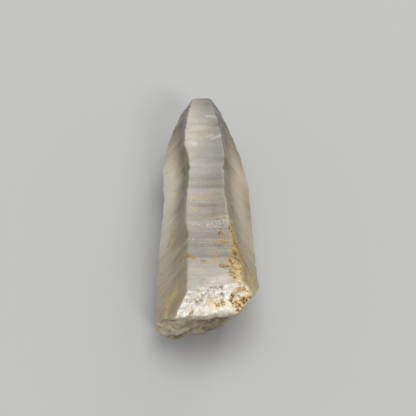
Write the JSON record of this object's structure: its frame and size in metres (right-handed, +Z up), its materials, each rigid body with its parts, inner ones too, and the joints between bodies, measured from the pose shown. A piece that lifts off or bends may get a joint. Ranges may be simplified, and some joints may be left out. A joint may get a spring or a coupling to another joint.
{
  "type": "rough quartz crystal",
  "caption": "Milky, iron-stained six-sided quartz point lying on a prism face, tapering with growth ledges to a pyramid tip, its base broken off at a slant.",
  "frame": {"origin": "bottom centre of the bounding box, on the plane the crystal rests on", "axes": "+Y along the crystal's long axis from the broken base to the tip, +Z up, +X to the right as seen from the base"},
  "size_m": [0.0242, 0.0814, 0.021],
  "materials": {
    "quartz": "vitreous, milky and partly frosted, with rusty iron stains"
  },
  "bodies": {
    "root": {"quartz_crystal": "quartz"}
  },
  "joints": []
}
